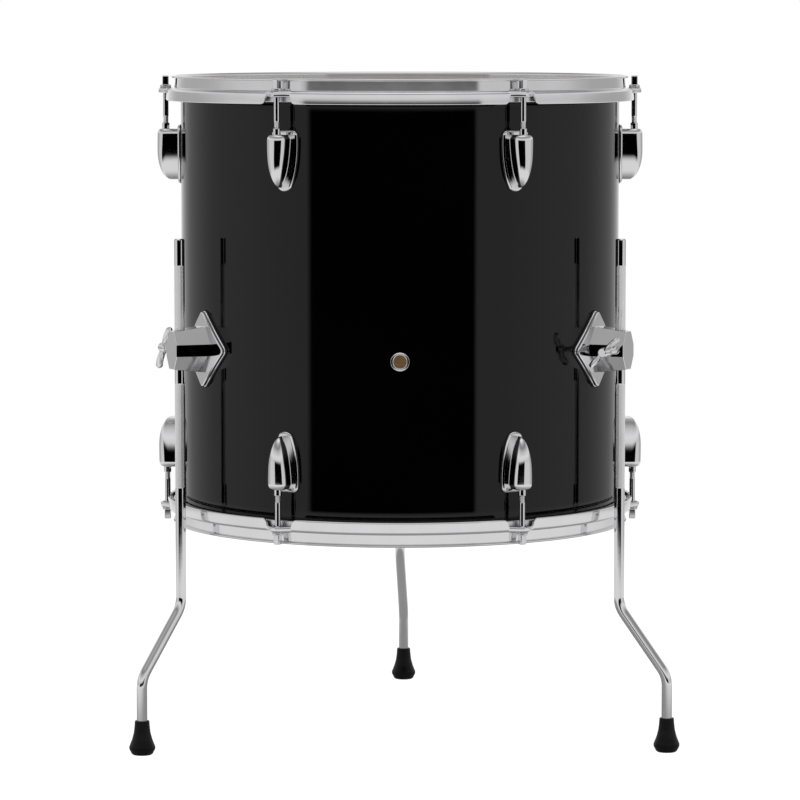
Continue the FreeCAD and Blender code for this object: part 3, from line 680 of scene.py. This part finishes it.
# ---- lugs, rods and washers -------------------------------------------------------------------------
def arc(first, through, last, steps):
    """Points on the circle through three points, without the last one."""
    (ax, ay), (bx, by), (cx, cy) = first, through, last
    d = 2 * (ax * (by - cy) + bx * (cy - ay) + cx * (ay - by))
    a2, b2, c2 = ax ** 2 + ay ** 2, bx ** 2 + by ** 2, cx ** 2 + cy ** 2
    ux = (a2 * (by - cy) + b2 * (cy - ay) + c2 * (ay - by)) / d
    uy = (a2 * (cx - bx) + b2 * (ax - cx) + c2 * (bx - ax)) / d
    start = math.atan2(ay - uy, ax - ux)
    middle = (math.atan2(by - uy, bx - ux) - start) % (2 * math.pi)
    sweep = (math.atan2(cy - uy, cx - ux) - start) % (2 * math.pi)
    if middle > sweep:
        sweep -= 2 * math.pi
    radius = math.hypot(ax - ux, ay - uy)
    angles = [start + sweep * k / steps for k in range(steps)]
    return [(ux + radius * math.cos(a), uy + radius * math.sin(a)) for a in angles]


def lug_outline():
    """Outline of a lug's plate: a rounded tip, bulging sides and a flat top with rounded corners."""
    tip, top, half = LUG_TIP_Z, LUG_TOP_Z, 13.0
    right = [(half, top - 4)]
    side = arc((half, top - 4), (half * 0.915, tip + 24), (7.0, tip + 3.6), 10)
    nose = arc((7.0, tip + 3.6), (0, tip), (-7.0, tip + 3.6), 12)
    left = [(-u, v) for u, v in side[::-1]]
    corner = [(-half + 4 - 4 * math.cos(a), top - 4 + 4 * math.sin(a))
              for a in np.linspace(0, math.pi / 2, 6)[1:]]
    across = [(u, top) for u in (-4.5, 0, 4.5)]
    corner_right = [(half - 4 + 4 * math.sin(a), top - 4 + 4 * math.cos(a))
                    for a in np.linspace(0, math.pi / 2, 6)[:-1]]
    return np.array(right + side[1:] + nose + left + corner + across + corner_right)


def lug_casing():
    """A plate on the shell and a body that tapers and falls towards its tip."""
    base = SHELL_R + 0.8
    plate = curved_plate(lug_outline(), [(0, base), (0, base + 0.9), (0.35, base + 1.5), (1.5, base + 2.15),
                                         (2.0, base + 2.2)])
    length = (LUG_TOP_Z - 3.5) - (LUG_TIP_Z + 3.5)
    shares = [0, 0.003, 0.01, 0.02, 0.034, 0.05, 0.07, 0.09, 0.11] + [0.16 + 0.06 * k for k in range(9)]
    shares += [0.69, 0.74, 0.78, 0.82, 0.86, 0.89, 0.92, 0.94, 0.96, 0.975, 0.987, 0.995, 1.0]
    rings = []
    for share in shares:
        end = max(0.0, 1 - share * length / 5.0)
        shoulder = 1 - math.sqrt(1 - end ** 2)
        half = 9.5 * (1 - share ** 2.2) ** 0.65 - 2.6 * shoulder
        fall = max(0.0, (share - 0.42) / 0.58)
        crest = 0.4 * max(0.0, 1 - share / 0.4) ** 2
        height = 21.3 - 13.0 * (1 - math.sqrt(max(0.0, 1 - fall ** 2))) - crest - 3.0 * shoulder
        z = LUG_TOP_Z - 3.5 - share * length
        ring = [(half, -base, z)]
        crown = min(half, height)
        for k in range(25):
            a = math.pi * k / 24
            across = math.copysign(abs(math.cos(a)) ** 0.88, math.cos(a))
            ring.append((half * across, -(base + height - crown + crown * math.sin(a) ** 0.88), z))
        ring.append((-half, -base, z))
        rings.append(ring)
    return join([plate, skin(rings)])


def nut():
    """Swivel nut: its neck stands out of the lug's flat end."""
    low, high = LUG_TOP_Z - 20, LUG_TOP_Z + 2
    bore, neck, body = ROD_R + 0.06, 3.4, 4.9
    step = LUG_TOP_Z - 6.5
    profile = fillet([(bore, low), (body, low), (body, step), (neck, step), (neck, high), (bore, high)],
                     [0.1, 0.4, 0.4, 0.2, 0.5, 0.15], steps=3)
    return lathe(profile, 40, (0, -ROD_CIRCLE_R, 0), closed=True)


def gasket(outline, thick, grow):
    """A pad on the shell, a little larger than the outline it is under."""
    return curved_plate(outline, [(-grow, SHELL_R), (-grow, SHELL_R + thick * 0.7),
                                  (-grow + 0.25, SHELL_R + thick)])


def tension_rod():
    """Collar, square key with rounded edges, and a shank with a real helical thread."""
    seat = WASHER_TOP
    collar = seat + 1.5
    low = seat - ROD_LENGTH
    thread_top = low + THREAD_LENGTH
    segments = 24
    rings = []
    steps = int(THREAD_LENGTH / THREAD_PITCH * 6)
    for k in range(steps + 1):
        z = low + THREAD_LENGTH * k / steps
        fade = min(1.0, (z - low) / 1.5, (thread_top - z) / 1.5)
        ring = []
        for s in range(segments):
            a = 2 * math.pi * s / segments
            groove = 0.5 - 0.5 * math.cos(2 * math.pi * (z / THREAD_PITCH) - a)
            r = (ROD_R - 0.42 * groove * max(fade, 0.0)) * (0.78 + 0.22 * min(1.0, (z - low) / 0.8))
            ring.append((r * math.cos(a), r * math.sin(a) - ROD_CIRCLE_R, z))
        rings.append(ring)
    thread = skin(rings)
    profile = fillet([(0, thread_top - 0.3), (ROD_R, thread_top - 0.3), (ROD_R, seat), (5.0, seat),
                      (5.0, collar), (0, collar)], [0, 0, 0.2, 0.3, 0.6, 0], closed=False)
    shank = lathe(profile, 40, (0, -ROD_CIRCLE_R, 0))
    key = fillet([(-3, -3), (3, -3), (3, 3), (-3, 3)], 0.9)
    base = collar - 0.2
    top = collar + 8.4
    levels = [(0, base), (0, base + 1), (0, top - 1.0), (0.12, top - 0.5), (0.4, top - 0.18), (0.9, top)]
    head = stack(key, levels, lambda u, v, z: (u, v - ROD_CIRCLE_R, z))
    return join([thread, shank, head])


def rod_washer():
    profile = fillet([(ROD_R + 0.3, FLANGE_Z), (WASHER_R, FLANGE_Z), (WASHER_R, WASHER_TOP),
                      (ROD_R + 0.3, WASHER_TOP)], [0.1, 0.2, 0.45, 0.2], steps=3)
    return lathe(profile, 40, (0, -ROD_CIRCLE_R, 0), closed=True)


LUG = lug_casing()
ROD = tension_rod()
WASHER = rod_washer()
for end in ENDS:
    piece(end + "_lugs", at_end(six(LUG), end), "drum", "chrome", [end + "_lug_casings"])
    for number, azimuth in enumerate(ROD_AZIMUTHS, 1):
        rod_name = "%s_tension_rod_%d" % (end, number)
        washer_name = "%s_rod_washer_%d" % (end, number)
        piece("%s_rod_%d" % (end, number), at_end(turned(ROD, azimuth), end), rod_name, "chrome", [rod_name])
        piece("%s_washer_%d" % (end, number), at_end(turned(WASHER, azimuth), end), washer_name, "zinc",
              [washer_name])
nuts = [at_end(six(nut()), end) for end in ENDS]
piece("rod_nuts", join(nuts), "drum", "chrome", ["swivel_nuts"])
seats = [at_end(six(gasket(lug_outline(), 0.8, 0.5)), end) for end in ENDS]
piece("lug_seats", join(seats), "drum", "gasket", ["lug_gaskets"])


# ---- leg brackets ------------------------------------------------------------------------------------
def diamond(half):
    """Diamond with rounded corners; the sharp corners would be 2 mm further out."""
    far = half + 2
    return fillet([(far, BRACKET_Z), (0, BRACKET_Z + far), (-far, BRACKET_Z), (0, BRACKET_Z - far)],
                  5.0, steps=6)


def with_sides(outline, pieces=6):
    """The outline with extra points on its long sides, so that it can follow the shell."""
    result = []
    for p, q in zip(outline, np.roll(outline, -1, axis=0)):
        count = pieces if np.linalg.norm(q - p) > 8 else 1
        result += [p + (q - p) * k / count for k in range(count)]
    return np.array(result)


def octagon(distance, wide, tall, top_flat, side_flat):
    """Section of the bracket's body at a distance from the drum's axis; sizes are half sizes."""
    corners = [(top_flat, tall), (wide, side_flat), (wide, -side_flat), (top_flat, -tall), (-top_flat, -tall),
               (-wide, -side_flat), (-wide, side_flat), (-top_flat, tall)]
    return [(x, -distance, BRACKET_Z + z) for x, z in corners]


def bracket():
    """Faceted body with its bores for the leg, the bush and the wing bolt, and its diamond plate."""
    base = SHELL_R + PLATE_BEHIND
    edge = [(0, 0), (0, 0.4), (0.2, 0.7), (0.6, 0.85), (0.7, 1.1), (0.75, 2.7), (0.95, 3.2), (1.5, 3.5),
            (2.4, 3.6)]
    levels = [(distance, base + rise) for distance, rise in edge]
    plate = curved_plate(with_sides(diamond(PLATE_HALF)), levels)
    root = octagon(SHELL_R + 1.0, 17.6, 21.3, 8.4, 5.4)
    end = octagon(BRACKET_END_R, 10.5, 17.2, 5.0, 5.3)
    body = bevelled(skin([root, end]), 0.9)
    y = -LEG_CIRCLE_R
    leg_bore = pin(5.15, (0, y, BRACKET_Z - 40), (0, y, BRACKET_Z + 40), 40)
    bush_seat = pin(6.56, (0, y, BRACKET_Z - 12), (0, y, BRACKET_Z + 12), 40)
    bolt_hole = pin(3.0, (0, y, BRACKET_Z), (-30, y, BRACKET_Z))
    for cutter in (leg_bore, bush_seat, bolt_hole):
        body = cut(body, [cutter])
    return body, plate


BRACKET_BODY, BRACKET_PLATE = bracket()
for place, stand in LEGS.items():
    piece(place + "_bracket_body", turned(BRACKET_BODY, stand.azimuth), "drum", "chrome",
          [place + "_bracket"], sharp=12)
    piece(place + "_bracket_plate", turned(BRACKET_PLATE, stand.azimuth), "drum", "chrome", sharp=30)
seat = gasket(with_sides(diamond(PLATE_HALF)), PLATE_BEHIND, 0.8)
seats = [turned(seat, stand.azimuth) for stand in LEGS.values()]
piece("bracket_seats", join(seats), "drum", "gasket", ["bracket_gaskets"])


# ---- wing bolts ---------------------------------------------------------------------------------------
def wing_bolt(angle):
    """Threaded shank, hub and two wings, which stand at an angle from upright."""
    centre = (0, -LEG_CIRCLE_R, BRACKET_Z)
    tip, inner, outer = 8.3, 25.0, 36.5
    rings = []
    steps = int((inner - tip) / 1.0 * 6)
    for k in range(steps + 1):
        along = tip + (inner - tip) * k / steps
        fade = min(1.0, (along - tip) / 1.0, (inner - along) / 1.5)
        ring = []
        for s in range(24):
            a = 2 * math.pi * s / 24
            r = 2.94 - 0.38 * fade * (0.5 - 0.5 * math.cos(2 * math.pi * along - a))
            ring.append((-along, r * math.cos(a) - LEG_CIRCLE_R, r * math.sin(a) + BRACKET_Z))
        rings.append(ring)
    shank = skin(rings)
    hub = lathe(fillet([(0, inner - 0.2), (3.9, inner - 0.2), (4.4, inner + 2), (4.4, outer), (0, outer)],
                       [0, 0.3, 0.8, 1.0, 0], closed=False), 48, centre, "-X")
    dimple = lathe([(0, outer + 0.02), (1.6, outer + 0.02), (2.0, outer - 0.02)], 32, centre, "-X")
    middle = (inner + outer) / 2
    far = 19.5
    side = arc((outer - 0.5, 2.0), (outer + 1.1, far * 0.6), (outer + 0.1, far - 3.0), 8)
    crown = arc((outer + 0.1, far - 3.0), (middle, far), (inner + 0.9, far - 3.0), 12)
    back = arc((inner + 0.9, far - 3.0), (inner + 2.9, far * 0.42), (inner + 1.5, 2.0), 8)
    outline = np.array(side + crown + back + [(inner + 1.5, 2.0)])
    thick = 1.5
    side_levels = [(0, thick * 0.3), (0.25, thick * 0.72), (0.75, thick), (1.5, thick * 0.9),
                   (2.6, thick * 0.72)]
    levels = [(distance, -height) for distance, height in side_levels[::-1]] + side_levels
    parts = [shank, hub, dimple]
    for extra in (0, 180):
        a = math.radians(angle + extra)
        sine, cosine = math.sin(a), math.cos(a)
        parts.append(stack(outline, levels, lambda u, v, w: (
            -u, -LEG_CIRCLE_R - v * sine + w * cosine, BRACKET_Z + v * cosine + w * sine)))
    return join(parts)


# ---- legs and feet ---------------------------------------------------------------------------------------
def leg_path():
    """Points down the middle of a leg as (out, z), closely spaced where the leg is knurled or bent."""
    ends = [(0, LEG_TOP_Z), (0, LEG_BENDS[0]), (LEG_OFFSET, LEG_BENDS[1]), (LEG_OFFSET, 6.0)]
    bent = fillet(ends, [0, BEND_R, BEND_R, 0], closed=False, steps=14)
    straight_end = bent[1][1]
    (upper_low, upper_high), (lower_low, lower_high) = KNURL_BANDS
    zs = [LEG_TOP_Z]
    for low, high, knurled in ((upper_high, LEG_TOP_Z, False), (upper_low, upper_high, True),
                               (lower_high, upper_low, False), (lower_low, lower_high, True),
                               (straight_end, lower_low, False)):
        count = int((high - low) / (KNURL_STEP if knurled else 8.0)) + 1
        zs += list(np.linspace(high, low, count + 1))[1:]
    return [(0.0, z) for z in zs] + [tuple(p) for p in bent[2:]]


def knurl_strength(z):
    """From 0 on the plain parts of a leg to 1 on the knurled ones."""
    for low, high in KNURL_BANDS:
        if low < z < high:
            return min(1.0, (z - low) / 1.0, (high - z) / 1.0)
    return 0.0


def leg():
    """Bent round bar with a chamfered top; every second point is sunk where it is knurled."""
    path = np.array(leg_path())
    along = np.gradient(path, axis=0)
    along /= np.linalg.norm(along, axis=1)[:, None]
    segments = 48
    points, faces = [], []
    chamfer = [(LEG_R - 1.0, 0.0), (LEG_R - 0.7, 0.12), (LEG_R, 0.95)]
    levels = [(path[0] + along[0] * drop, along[0], radius, 0.0) for radius, drop in chamfer]
    levels += [(spot, way, LEG_R, knurl_strength(spot[1])) for spot, way in zip(path[1:], along[1:])]
    for level, (spot, way, radius, strength) in enumerate(levels):
        side = np.array([-way[1], way[0]])
        for s in range(segments):
            a = 2 * math.pi * s / segments
            r = radius - KNURL_DEPTH * strength * ((level + s) % 2)
            u = r * math.cos(a)
            points.append((r * math.sin(a), -(spot[0] + side[0] * u), spot[1] + side[1] * u))
    for level in range(len(levels) - 1):
        for s in range(segments):
            t = (s + 1) % segments
            a, b = level * segments + s, level * segments + t
            c, d = b + segments, a + segments
            if (level + s) % 2:
                faces += [(a, b, d), (b, c, d)]
            else:
                faces += [(a, b, c), (a, c, d)]
    for level, flip in ((0, 1), (len(levels) - 1, 0)):
        faces.append(tuple(level * segments + s for s in range(segments))[::-1 if flip else 1])
    return np.array(points), faces


def foot():
    """Rubber foot: a flat base, a bulge just above it, and a long cone up the leg."""
    profile = fillet([(0, 0), (8.4, 0), (9.6, 0.9), (11.8, 5.2), (11.8, 7.4), (9.2, 14.0), (7.6, 20.0),
                      (6.9, 26.0), (6.6, FOOT_HEIGHT), (LEG_R, FOOT_HEIGHT), (LEG_R, FOOT_HEIGHT - 2)],
                     [0, 0.8, 2, 1.4, 1.8, 12, 12, 12, 0.7, 0.4, 0], closed=False, steps=4)
    return lathe(profile, 56, (0, -LEG_OFFSET, 0))


def knurled(face):
    return knurl_strength(face.center[2] / MM) > 0.5


def on_stand(shape, stand):
    """A leg's shape, swivelled about the leg's own axis and put in its bracket."""
    points, faces = turned(shape, stand.swivel)
    return turned((points + np.array([0, -LEG_CIRCLE_R, 0]), faces), stand.azimuth)


for place, stand in LEGS.items():
    piece(place + "_leg_rod", on_stand(leg(), stand), place + "_leg", "chrome", [place + "_leg"],
          weighted=False, flat=knurled)
    piece(place + "_foot", on_stand(foot(), stand), place + "_leg", "rubber", [place + "_rubber_foot"])
    piece(place + "_wing", turned(wing_bolt(stand.wings), stand.azimuth), place + "_wing_bolt", "chrome",
          [place + "_wing_bolt"], sharp=30)


# ---- CAD nodes that stay --------------------------------------------------------------------------------
SLOTS = {entry["node"]: entry["material_slot"] for entry in frame["record"]["subparts"]}
for node, held in frame["nodes"].items():
    if held.hide_render:
        continue
    held.data.materials.clear()
    held.data.materials.append(MATERIALS[SLOTS[node]])


# ---- floor, light and camera ----------------------------------------------------------------------------
FLOOR_RADII = (1, 400, 900, 1400, 2000)
FLOOR_FADE = (1.15, 1.75)        # metres; the disc is solid up to the first and clear past the second
FLOOR_PAINTED_SHADOW = (0.30, 0.75, 0.22, 0.70)      # two radii in metres, and the glow in reflections at each; the dimmer glow near the drum is a painted shadow under it

# brightness overhead in reflections, by the height of the direction from level (0) to straight up (1)
SKY = ((0.0, 0.3), (0.14, 0.75), (0.24, 0.85), (0.42, 0.6), (0.60, 0.27), (0.8, 0.5), (0.93, 1.0))


class Tree:
    """Shorthand for the nodes of the floor and the world."""

    def __init__(self, tree):
        self.nodes, self.links = tree.nodes, tree.links
        self.nodes.clear()

    def add(self, kind, *sources, **values):
        """A node whose first inputs are linked to the sources, or set to them if they are numbers."""
        node = self.nodes.new(kind)
        for key, value in values.items():
            setattr(node, key, value)
        for socket, source in zip(node.inputs, sources):
            if isinstance(source, (int, float)):
                socket.default_value = source
            else:
                self.links.new(source, socket)
        return node

    def math(self, operation, *sources):
        return self.add("ShaderNodeMath", *sources, operation=operation).outputs[0]

    def between(self, value, low, high, first, last):
        """A smooth step from first to last as the value goes from low to high."""
        node = self.add("ShaderNodeMapRange", value, interpolation_type="SMOOTHSTEP")
        for socket, number in (("From Min", low), ("From Max", high), ("To Min", first), ("To Max", last)):
            node.inputs[socket].default_value = number
        return node.outputs["Result"]


def floor():
    """A pale disc that fades out, so that it has no visible edge; its glow in reflections is dimmer near the
    drum, a painted shadow under it.
    """
    rings = [[(r * math.cos(a), r * math.sin(a), -0.05) for a in np.linspace(0, 2 * math.pi, 129)[:-1]]
             for r in FLOOR_RADII]
    points, faces = skin(rings, caps=False)
    mesh = bpy.data.meshes.new("floor")
    mesh.from_pydata((points * MM).tolist(), [], faces + [tuple(range(128))[::-1]])
    made = bpy.data.objects.new("floor", mesh)
    bpy.context.scene.collection.objects.link(made)
    material = bpy.data.materials.new("floor")
    material.use_nodes = True
    mesh.materials.append(material)

    tree = Tree(material.node_tree)
    coords = tree.add("ShaderNodeTexCoord")
    radius = tree.add("ShaderNodeVectorMath", coords.outputs["Object"], operation="LENGTH").outputs["Value"]
    seen = tree.add("ShaderNodeLightPath").outputs["Is Camera Ray"]
    glow = tree.add("ShaderNodeEmission")
    # in reflections the glow dims towards the drum: a painted shadow under it; camera rays see it full
    tree.links.new(tree.math("MAXIMUM", tree.between(radius, *FLOOR_PAINTED_SHADOW), seen), glow.inputs["Strength"])
    diffuse = tree.add("ShaderNodeBsdfDiffuse")
    diffuse.inputs["Color"].default_value = (0.2, 0.2, 0.2, 1)
    pale = tree.add("ShaderNodeAddShader", glow.outputs[0], diffuse.outputs[0])
    clear = tree.add("ShaderNodeBsdfTransparent")
    fade = tree.between(radius, *FLOOR_FADE, 0.0, 1.0)
    mix = tree.add("ShaderNodeMixShader", fade, pale.outputs[0], clear.outputs[0])
    tree.add("ShaderNodeOutputMaterial", mix.outputs[0])


def world():
    """White to the eye; in reflections, light at the sides and overhead, and dark in front."""
    made = bpy.data.worlds.new("studio")
    bpy.context.scene.world = made
    made.use_nodes = True
    tree = Tree(made.node_tree)
    coords = tree.add("ShaderNodeTexCoord")
    x, y, z = tree.add("ShaderNodeSeparateXYZ", coords.outputs["Generated"]).outputs
    forward = tree.math("MULTIPLY", y, -1.0)
    azimuth = tree.math("MULTIPLY", tree.math("ARCTAN2", x, forward), 180 / math.pi)
    away = tree.math("ABSOLUTE", azimuth)

    left = tree.between(azimuth, -50, -46, 0.72, 0.0)
    right = tree.between(azimuth, 38, 41, 0.0, 0.70)
    sides = tree.math("SUBTRACT", tree.math("ADD", left, right), tree.between(away, 80, 118, 0.0, 0.24))
    level_light = tree.math("ADD", sides, tree.between(away, 140, 172, 0.0, 0.5))

    overhead = tree.add("ShaderNodeValToRGB", z)
    elements = overhead.color_ramp.elements
    for i, (place, bright) in enumerate(SKY):
        element = elements[i] if i < 2 else elements.new(place)
        element.position = place
        element.color = (bright, bright, bright, 1)
    above = tree.between(z, 0.03, 0.16, 0.0, 1.0)
    strength = tree.math("ADD", tree.math("MULTIPLY", level_light, tree.math("SUBTRACT", 1.0, above)),
                         tree.math("MULTIPLY", overhead.outputs[0], above))

    lit = tree.add("ShaderNodeBackground")
    lit.inputs["Color"].default_value = (1, 0.985, 0.99, 1)
    tree.links.new(strength, lit.inputs["Strength"])
    white = tree.add("ShaderNodeBackground")
    white.inputs["Color"].default_value = (1, 1, 1, 1)
    white.inputs["Strength"].default_value = 1.0
    seen = tree.add("ShaderNodeLightPath").outputs["Is Camera Ray"]
    mix = tree.add("ShaderNodeMixShader", seen, lit.outputs[0], white.outputs[0])
    tree.add("ShaderNodeOutputWorld", mix.outputs[0])


CAMERA_DISTANCE = 3.7866         # metres in front of the drum's axis
CAMERA_HEIGHT = 0.6712           # metres
CAMERA_PITCH = 5.473             # degrees down
CAMERA_LENS = 183.26             # millimetres, on a sensor 36 mm wide

floor()
world()
camera = bpy.data.cameras.new("camera")
camera.lens = CAMERA_LENS
camera.sensor_width = 36.0
viewer = bpy.data.objects.new("camera", camera)
viewer.location = (0, -CAMERA_DISTANCE, CAMERA_HEIGHT)
viewer.rotation_euler = (math.radians(90 - CAMERA_PITCH), 0, 0)
bpy.context.scene.collection.objects.link(viewer)
bpy.context.scene.camera = viewer
bpy.context.scene.view_settings.view_transform = "Standard"
